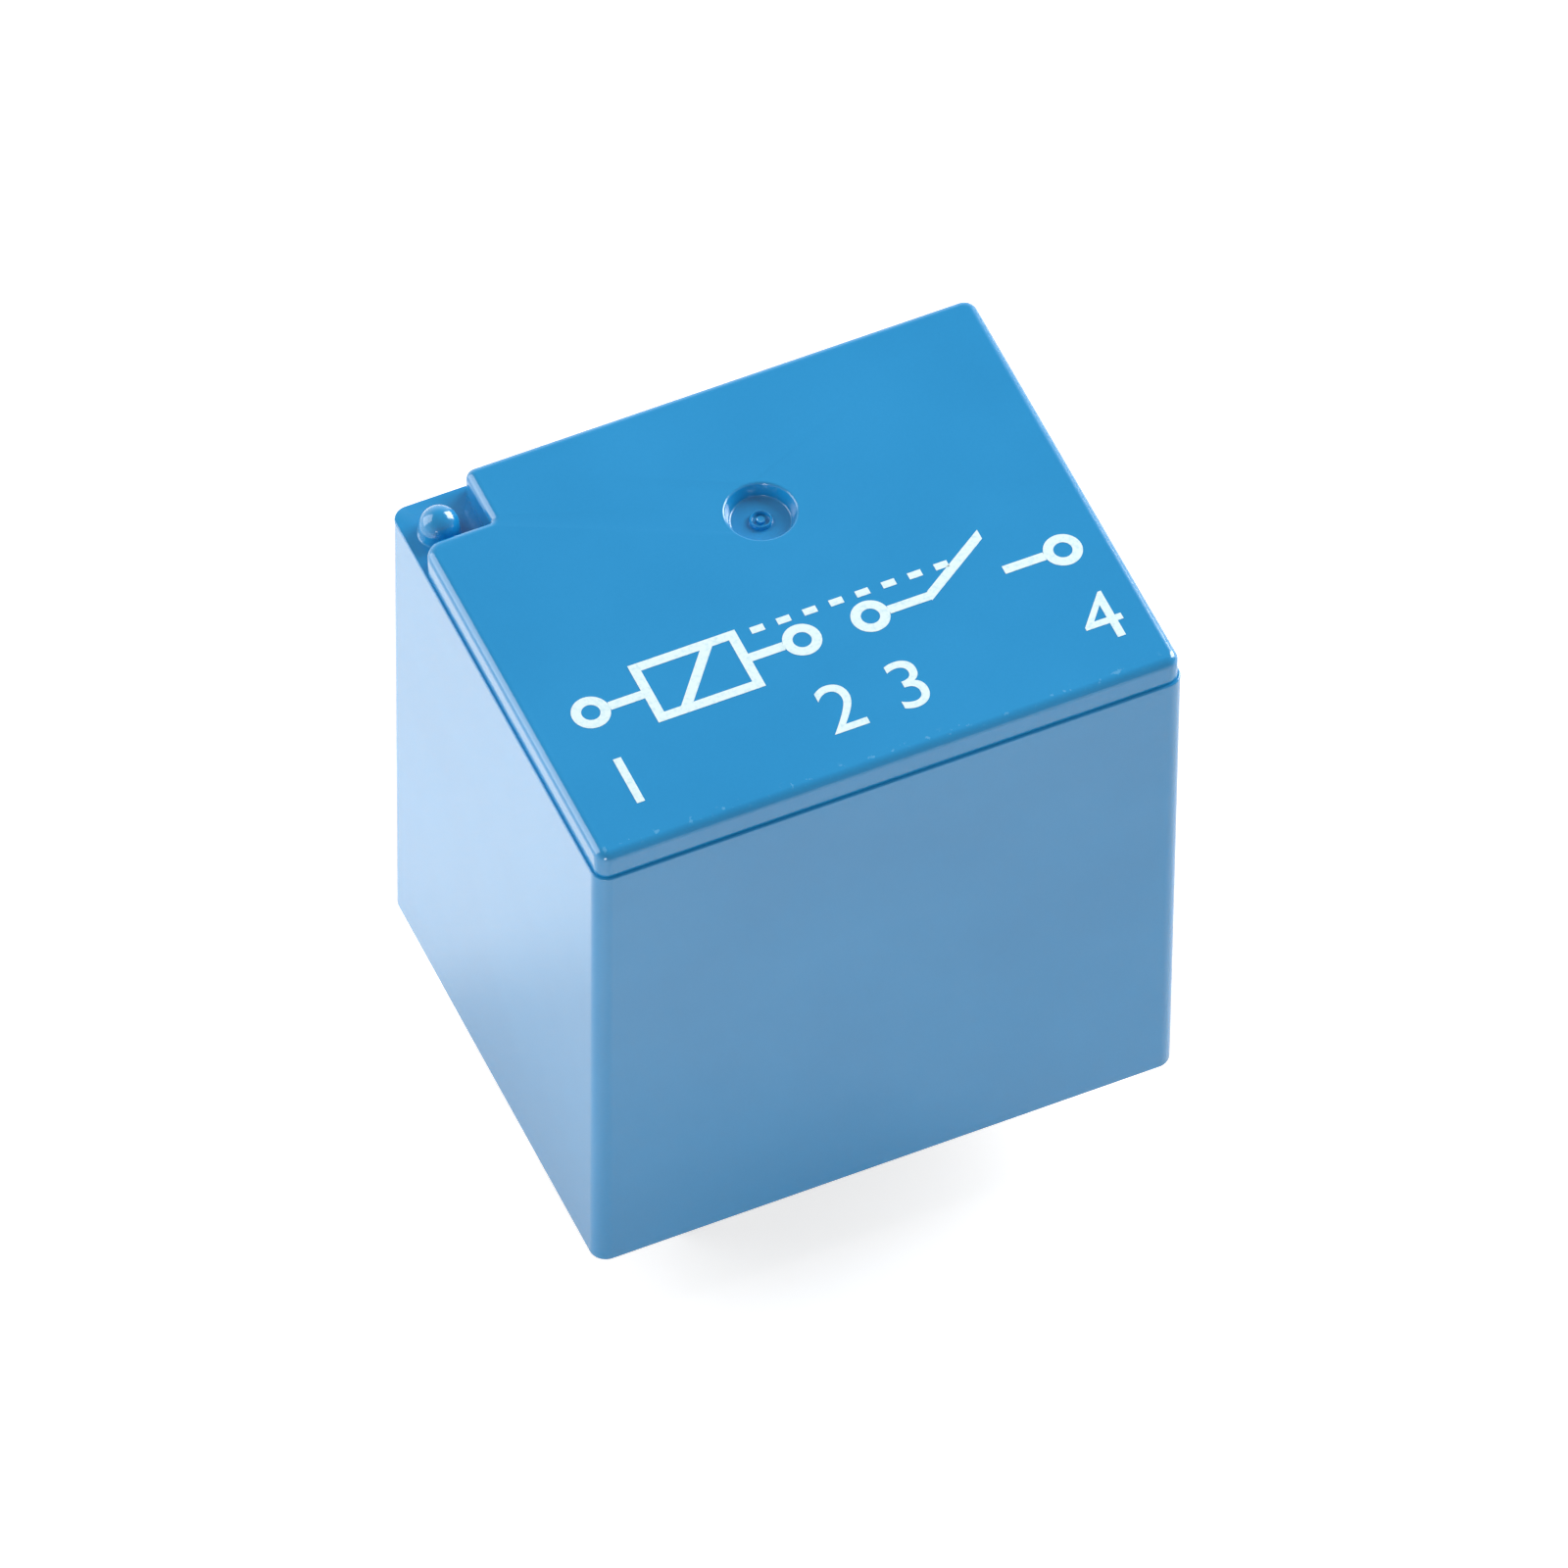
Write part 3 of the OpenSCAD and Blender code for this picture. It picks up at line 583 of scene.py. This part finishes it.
def filled(bm, edges, *rounds):
    """Fills an outline round discs of (centre, half length, half width), and returns the discs."""
    discs = []
    for centre, length, width in rounds:
        shape = Matrix.Translation(centre) @ Matrix.Diagonal((length, width, 1.0, 1.0))
        made = bmesh.ops.create_circle(bm, cap_ends=True, radius=1.0, segments=ROUND_STEPS, matrix=shape)
        discs.append(made["verts"][0].link_faces[0])
    rings = [e for disc in discs for e in disc.edges]
    bmesh.ops.triangle_fill(bm, edges=edges + rings, use_beauty=True)
    return discs


def turned(bm, face, centre, profile, core=(0.0, 0.0)):
    """Carries a round face through (radius, height) pairs; core is what an oblong one has besides."""
    long = max(abs(v.co.x - centre.x) for v in face.verts)
    wide = max(abs(v.co.y - centre.y) for v in face.verts)
    for radius, z in profile:
        face = extruded(bm, face, 0.0)
        grown = (core[0] + radius) / long, (core[1] + radius) / wide
        for v in face.verts:
            out = v.co - centre
            v.co = (centre.x + out.x * grown[0], centre.y + out.y * grown[1], z)
        long, wide = core[0] + radius, core[1] + radius
    return face


def arc(radius, z, size, start, end, steps):
    """(radius, height) pairs along an arc, angles in degrees from outwards to upwards."""
    angles = [math.radians(start + (end - start) * i / steps) for i in range(steps + 1)]
    return [(radius + size * math.cos(a), z + size * math.sin(a)) for a in angles]


def level_face(bm, z):
    """The first face that lies level at a height."""
    return next(f for f in bm.faces if all(abs(v.co.z - z) < TINY for v in f.verts))


def edges_at(bm, z, test=None):
    """The edges that lie level at a height."""
    found = [e for e in bm.edges if all(abs(v.co.z - z) < TINY for v in e.verts)]
    return [e for e in found if test is None or test(e)]


def on_outline(edge):
    """Whether an edge runs along the outside of the cover."""
    def outside(p):
        x, y = abs(p.x) - CASE_X, abs(p.y) - CASE_Y
        if x > -CORNER_R and y > -CORNER_R:
            return abs(Vector((x + CORNER_R, y + CORNER_R)).length - CORNER_R) < NEAR
        return max(x, y) > -NEAR
    return all(outside(v.co) for v in edge.verts)


def gate_recess(bm, disc):
    """The round recess of the moulding gate, with its ring and the scar of the sprue."""
    floor = CASE_TOP - GATE_DEPTH
    rim = arc(GATE_R, CASE_TOP - GATE_EDGE_R, GATE_EDGE_R, 90, 180 - GATE_DRAFT, 5)[1:]
    foot = arc(GATE_FLOOR_R - GATE_FOOT_R, floor + GATE_FOOT_R, GATE_FOOT_R, -GATE_DRAFT, -90, 3)
    soft = (GATE_RING_OUT - GATE_RING_IN) / 5
    crest = floor + GATE_RING_H
    ring = [
        (GATE_RING_OUT, floor), (GATE_RING_OUT - soft, crest - soft),
        (GATE_RING_OUT - 2 * soft, crest), (GATE_RING_IN + 2 * soft, crest),
        (GATE_RING_IN + soft, crest - soft), (GATE_RING_IN, floor)]
    scar = [(SCAR_R * out, floor + SCAR_H * up) for out, up in SCAR_PROFILE]
    turned(bm, disc, GATE, rim + foot + ring + scar)


def lid_panel(bm):
    """The lid: an oblong panel with a corner left out, that stands back from the walls."""
    notch_x = -CASE_X + NOTCH_L
    notch_y = CASE_Y - NOTCH_W
    length, width = CASE_X - LID_INSET, CASE_Y - LID_INSET
    corners = oblong(length, width, CORNER_R - LID_INSET)[:3]
    corners += [(notch_x, width, NOTCH_OUT_R[0]), (notch_x, notch_y, NOTCH_IN_R),
                (-length, notch_y, NOTCH_OUT_R[1])]
    extruded(bm, round_plan(bm, corners, SEAM_Z), LID_H)
    bevel(bm, edges_at(bm, CASE_TOP), LID_EDGE_R, LID_EDGE_STEPS)
    gate_recess(bm, *filled(bm, loop_of(bm, level_face(bm, CASE_TOP)), (GATE, GATE_R, GATE_R)))
    return edges_at(bm, SEAM_Z)


def cover_walls(bm, stem):
    """The walls and their ledge round the lid, with the vent nib on the floor of the corner notch."""
    outline = loop_of(bm, round_plan(bm, oblong(CASE_X, CASE_Y, CORNER_R), SEAM_Z))
    foot_r = NIB_R + NIB_FOOT_R
    disc, = filled(bm, outline + stem, (NIB, foot_r, foot_r))
    foot = arc(foot_r, SEAM_Z + NIB_FOOT_R, NIB_FOOT_R, 270, 180, 3)[1:]
    dome = arc(0.0, SEAM_Z + NIB_H - NIB_R, NIB_R, 0, NIB_DOME_END, 10)
    turned(bm, disc, NIB, foot + dome)
    rim = drawn(bm, outline, 0.0)
    bevel(bm, edges_at(bm, SEAM_Z, on_outline), SEAM_EDGE_R, EDGE_STEPS)
    return rim


def cover_inside(bm, rim):
    """The hollow: the wider mouth for the base, the room for the works and the blind vent hole."""
    mouth = oblong(CASE_X - WALL + REBATE, CASE_Y - WALL + REBATE, INNER_R)
    loop = loop_of(bm, round_plan(bm, mouth, 0.0))
    bmesh.ops.bridge_loops(bm, edges=rim + loop)
    bevel(bm, edges_at(bm, 0.0, on_outline), RIM_EDGE_R, EDGE_STEPS)
    for z, step in ((BASE_TOP, 0.0), (BASE_TOP, REBATE), (VENT.z, 0.0)):
        loop = drawn(bm, loop, z, step)
    disc, = filled(bm, loop, (VENT, VENT_R, VENT_R))
    turned(bm, disc, VENT, [(VENT_R, SEAM_Z + NIB_H - VENT_SKIN)])


def cover_shell():
    """The moulded cover, one shell open below."""
    bm = bmesh.new()
    stem = lid_panel(bm)
    rim = cover_walls(bm, stem)
    cover_inside(bm, rim)
    piece = add_piece("cover_shell", bm, finishes["case_plastic"])
    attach(piece, "housing")
    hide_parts("cover")


def inked(bm, faces):
    """Gives printed faces the thickness of the ink."""
    made = bmesh.ops.extrude_face_region(bm, geom=faces)["geom"]
    bmesh.ops.translate(bm, verts=of_kind(made, bmesh.types.BMVert), vec=(0.0, 0.0, INK_T))


def printed_line(bm, start, end, across):
    """A straight printed line; across is half of each end, so the ends can lie along another line."""
    a, b, half = (Vector((*v, 0.0)) * MM for v in (start, end, across))
    lift = Vector((0.0, 0.0, INK_Z))
    verts = [bm.verts.new(p + lift) for p in (a - half, b - half, b + half, a + half)]
    inked(bm, [bm.faces.new(verts)])


def printed_frame(bm, face):
    """Keeps only a line's width along the edge of a face, and prints it."""
    made = bmesh.ops.inset_region(bm, faces=[face], thickness=LINE_W * MM, use_even_offset=True,
                                  use_boundary=True)
    bmesh.ops.delete(bm, geom=[face], context="FACES_ONLY")
    inked(bm, made["faces"])


def printed_ring(bm, x, y):
    """A printed ring for a terminal."""
    made = bmesh.ops.create_circle(bm, cap_ends=True, radius=RING_R * MM, segments=RING_STEPS,
                                   matrix=Matrix.Translation((x * MM, y * MM, INK_Z)))
    printed_frame(bm, made["verts"][0].link_faces[0])


def printed_number(bm, text, x, y):
    """A printed numeral."""
    letters = bpy.data.curves.new("numeral", "FONT")
    letters.body = text
    letters.size = DIGIT_H / DIGIT_SHARE * MM
    letters.align_x = "CENTER"
    letters.align_y = "CENTER"
    letters.extrude = INK_T / 2
    holder = bpy.data.objects.new("numeral", letters)
    bpy.context.scene.collection.objects.link(holder)
    bpy.context.view_layer.update()
    evaluated = holder.evaluated_get(bpy.context.evaluated_depsgraph_get())
    mesh = bpy.data.meshes.new_from_object(evaluated)
    mesh.transform(Matrix.Translation((x * MM, y * MM, CASE_TOP + INK_T / 4)))
    bm.from_mesh(mesh)
    bmesh.ops.remove_doubles(bm, verts=bm.verts, dist=TINY)
    bpy.data.meshes.remove(mesh)
    bpy.data.objects.remove(holder)
    bpy.data.curves.remove(letters)


def lid_print():
    """A plain wiring diagram in white ink: a coil and an open contact between numbered terminals."""
    bm = bmesh.new()
    level = (0.0, LINE_W / 2)
    for number, x in zip("1234", TERMINAL_X):
        printed_ring(bm, x, DIAGRAM_Y)
        printed_number(bm, number, x, NUMBER_Y)
    coil_low, coil_high = -COIL_BOX[0] + COIL_X, COIL_BOX[0] + COIL_X
    first, second, third, fourth = TERMINAL_X
    for start, end in ((first + RING_R, coil_low), (coil_high, second - RING_R),
                       (third + RING_R, ARM_X[0]), (ARM_X[1], fourth - RING_R)):
        printed_line(bm, (start, DIAGRAM_Y), (end, DIAGRAM_Y), level)
    corners = oblong(COIL_BOX[0], COIL_BOX[1], 0.0)
    corners = [((x + COIL_X) * MM, (y + DIAGRAM_Y) * MM, radius) for x, y, radius in corners]
    printed_frame(bm, round_plan(bm, corners, INK_Z))
    slash = COIL_BOX[1] - LINE_W
    lean = slash * SLASH_LEAN
    printed_line(bm, (COIL_X - lean, DIAGRAM_Y - slash), (COIL_X + lean, DIAGRAM_Y + slash),
                 (SLASH_HALF, 0.0))
    printed_line(bm, (ARM_X[0], DIAGRAM_Y), (ARM_X[1] - ARM_SHORT, DIAGRAM_Y + ARM_RISE),
                 (0.0, ARM_HALF))
    link_y = DIAGRAM_Y + LINK_RISE
    link_end = ARM_X[0] + (ARM_X[1] - ARM_X[0]) * LINK_RISE / ARM_RISE - LINK_GAP
    dash = (link_end - coil_high) / (2 * LINK_DASHES)
    for i in range(LINK_DASHES):
        start = coil_high + dash * (2 * i + 1)
        printed_line(bm, (start, link_y), (start + dash, link_y), (0.0, LINK_HALF))
    piece = add_piece("lid_print", bm, ink, sharp_angle=30.0)
    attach(piece, "housing")


def creep(size, steps=CREEP_STEPS):
    """How resin climbs what it wets: (distance, rise) pairs from the wall to the flat."""
    angles = [math.pi / 2 * i / steps for i in range(steps + 1)]
    climb = [(size[0] * (1.0 - math.cos(a)), size[1] * (1.0 - math.sin(a))) for a in angles]
    return climb + [(size[0] + CREEP_EDGE, 0.0)]


def resin_fill():
    """The cast resin that closes the case, with a fillet along the walls and round each pin."""
    low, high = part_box("sealing_resin")
    bm = bmesh.new()
    top = round_plan(bm, oblong(high.x, high.y, RESIN_R), high.z)
    last, rise = creep(CREEP_WALL)[0]
    loop = loop_of(bm, extruded(bm, top, low.z - rise - high.z, keep=True))
    for distance, rise in creep(CREEP_WALL)[1:]:
        loop = drawn(bm, loop, low.z - rise, distance - last)
        last = distance
    pins = []
    for mount in frame["record"]["mounts"]:
        if mount["kind"] == "flat_face":
            continue
        x, y, z = mount["pos_m"]
        length, width = [half * math.sqrt(2.0) for half in BLADE]
        if mount["kind"] == "pin":
            length = width = mount["dims"]["r_mm"] * MM
        pins.append((Vector((x, y, low.z)), length, width))
    reach = CREEP_PIN[0] + CREEP_EDGE
    grown = [(centre, length + reach, width + reach) for centre, length, width in pins]
    for disc, (centre, length, width) in zip(filled(bm, loop, *grown), pins):
        collar = [(distance, low.z - rise) for distance, rise in reversed(creep(CREEP_PIN)[:-1])]
        turned(bm, disc, centre, collar, (length, width))
    piece = add_piece("resin_fill", bm, finishes["resin"])
    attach(piece, "housing")
    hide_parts("sealing_resin")


def packed_copy(node):
    """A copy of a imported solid, with its points joined."""
    bm = bmesh.new()
    bm.from_mesh(frame["nodes"][node].data)
    bmesh.ops.remove_doubles(bm, verts=bm.verts, dist=TINY)
    return bm


def coil_turns():
    """The winding, its outer layer drawn turn by turn."""
    bm = packed_copy("coil_winding")
    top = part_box("coil_winding")[1].z
    core_low, core_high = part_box("core")
    axis = (core_low + core_high) / 2
    ring = [v.co for v in bm.verts if v.co.z > top - TINY]
    radius = max((p - axis).to_2d().length for p in ring)
    bottom = min(v.co.z for v in bm.verts if abs((v.co - axis).to_2d().length - radius) < NEAR)
    turns = round((top - bottom) / WIRE_D)
    pitch = (top - bottom) / turns
    crown = radius + TURN_CROWN
    profile = [(radius - TURN_RISE, bottom), (radius + TINY, bottom)]
    for i in range(turns):
        z = bottom + pitch * i
        profile += [(crown, z + pitch * 0.25), (crown, z + pitch * 0.75), (radius + TINY, z + pitch)]
    profile.append((radius - TURN_RISE, top))
    verts = [bm.verts.new((axis.x + r, axis.y, z)) for r, z in profile]
    edges = [bm.edges.new(pair) for pair in zip(verts, verts[1:] + verts[:1])]
    bmesh.ops.spin(bm, geom=verts + edges, cent=axis, axis=(0.0, 0.0, 1.0), dvec=(0.0, 0.0, 0.0),
                   angle=2 * math.pi, steps=COIL_STEPS, use_merge=True, use_duplicate=False)
    piece = add_piece("coil_turns", bm, finishes["copper_wire"], sharp_angle=60.0)
    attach(piece, "housing")
    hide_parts("coil_winding")


# How wide the softened edges are, in millimetres
SOFT_EDGES = {
    "base": 0.08, "yoke": 0.08, "core": 0.06, "bobbin": 0.05,
    "coil_pin_a": 0.03, "coil_pin_b": 0.03, "com_terminal": 0.05, "com_rivet": 0.05,
    "spring_rivets": 0.05, "no_terminal": 0.05, "no_contact": 0.04, "back_stop": 0.05,
    "armature": 0.06, "armature_rivets": 0.05, "moving_contact": 0.04,
}


def soft_pieces():
    """Copies of stamped, turned and moulded parts, their edges rounded as the tools leave them."""
    slots = {part["node"]: part["material_slot"] for part in frame["record"]["subparts"]}
    for body, nodes in frame["record"]["behaviour"]["bodies"].items():
        for node in nodes:
            if node in SOFT_EDGES:
                bm = packed_copy(node)
                bmesh.ops.dissolve_limit(bm, angle_limit=FLAT_ANGLE, verts=bm.verts, edges=bm.edges)
                piece = add_piece(node + "_soft", bm, finishes[slots[node]],
                                  sharp_angle=35.0, soft=SOFT_EDGES[node] * MM)
                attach(piece, body)
                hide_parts(node)


def bent_spring():
    """The contact spring, held by the yoke at one end and by the armature at the other: a smooth copy of
    its solid that stays where it stands.
    """
    bm = packed_copy("contact_spring")
    piece = add_piece("leaf_spring", bm, finishes["spring_bronze"], sharp_angle=25.0)
    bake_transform(piece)
    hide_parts("contact_spring")


def studio_floor():
    """A pale floor under the pins, which glows for the camera and for reflections."""
    floor_z = solid_box[0].z
    bm = bmesh.new()
    bmesh.ops.create_circle(bm, cap_ends=True, radius=FLOOR_R, segments=FLOOR_STEPS,
                            matrix=Matrix.Translation((0.0, 0.0, floor_z)))
    mesh = bpy.data.meshes.new("floor")
    bm.to_mesh(mesh)
    bm.free()
    floor = bpy.data.objects.new("floor", mesh)
    bpy.context.scene.collection.objects.link(floor)
    material, g = new_material("floor")
    seen = g.node("ShaderNodeLightPath", output="Is Camera Ray")
    glossy = g.node("ShaderNodeLightPath", output="Is Glossy Ray")
    slope = g.node("ShaderNodeVectorMath", {"operation": "DOT_PRODUCT"},
                   {0: g.place(), 1: Vector(GLOSS_SLOPE)}, output="Value")
    least, most = GLOSS_GLOW
    mirrored = (GLOSS_START + slope).clamped() * (most - least) + least
    strength = seen * FLOOR_GLOW + glossy * mirrored
    lit = g.node("ShaderNodeBsdfDiffuse", None, {"Color": FLOOR_GREY})
    glow = g.node("ShaderNodeEmission", None, {"Color": WHITE, "Strength": strength})
    g.output(g.node("ShaderNodeAddShader", None, {0: lit, 1: glow}))
    mesh.materials.append(material)


def surround():
    """The white surround, plain to the camera."""
    world = bpy.data.worlds.new("surround")
    world.use_nodes = True
    bpy.context.scene.world = world
    g = Graph(world.node_tree)
    seen = g.node("ShaderNodeLightPath", output="Is Camera Ray")
    direction = g.node("ShaderNodeTexCoord", output="Generated")
    height = g.node("ShaderNodeSeparateXYZ", None, {"Vector": direction}, output="Z")
    shade = ((height - OVERHEAD_START) * (1.0 / (OVERHEAD_END - OVERHEAD_START))).clamped()
    slope = g.node("ShaderNodeVectorMath", {"operation": "DOT_PRODUCT"},
                   {0: direction, 1: Vector(SURROUND_SLOPE)}, output="Value")
    light = SURROUND + slope
    light = light - shade * (light - OVERHEAD)
    strength = light + seen * (BACKDROP - light)
    g.output(g.node("ShaderNodeBackground", None, {"Color": WHITE, "Strength": strength}),
             "ShaderNodeOutputWorld")


def soft_light(name, direction, size, watts):
    """A soft light of some width and height that faces the relay from a direction."""
    data = bpy.data.lights.new(name, "AREA")
    data.shape = "RECTANGLE"
    data.size, data.size_y = size
    data.energy = watts
    lamp = bpy.data.objects.new(name, data)
    aim = Vector(direction).normalized()
    lamp.matrix_world = (Matrix.Translation(aim * LIGHT_DISTANCE)
                         @ aim.to_track_quat("Z", "Y").to_matrix().to_4x4())
    bpy.context.scene.collection.objects.link(lamp)


def photo_camera():
    """The camera at the photograph's viewing angle."""
    data = bpy.data.cameras.new("photo_camera")
    data.sensor_width = SENSOR
    data.lens = CAMERA_LENS
    data.clip_start, data.clip_end = CAMERA_CLIP
    data.shift_x = (FRAME_PIXELS / 2 - CENTRE_PIXEL[0]) / FRAME_PIXELS
    data.shift_y = (CENTRE_PIXEL[1] - FRAME_PIXELS / 2) / FRAME_PIXELS
    camera = bpy.data.objects.new("photo_camera", data)
    level = math.cos(CAMERA_ELEVATION)
    back = Vector((math.sin(CAMERA_AZIMUTH) * level, -math.cos(CAMERA_AZIMUTH) * level,
                   math.sin(CAMERA_ELEVATION)))
    centre = (case_low + case_high) / 2
    camera.matrix_world = (Matrix.Translation(centre + back * CAMERA_DISTANCE)
                           @ (-back).to_track_quat("-Z", "Y").to_matrix().to_4x4()
                           @ Matrix.Rotation(CAMERA_ROLL, 4, "Z"))
    bpy.context.scene.collection.objects.link(camera)
    bpy.context.scene.camera = camera


bpy.context.scene.view_settings.view_transform = "Standard"
photo_camera()
studio_floor()
surround()
for name, light in LIGHTS.items():
    soft_light(name, *light)
dress_solids()
cover_shell()
lid_print()
resin_fill()
coil_turns()
soft_pieces()
bent_spring()
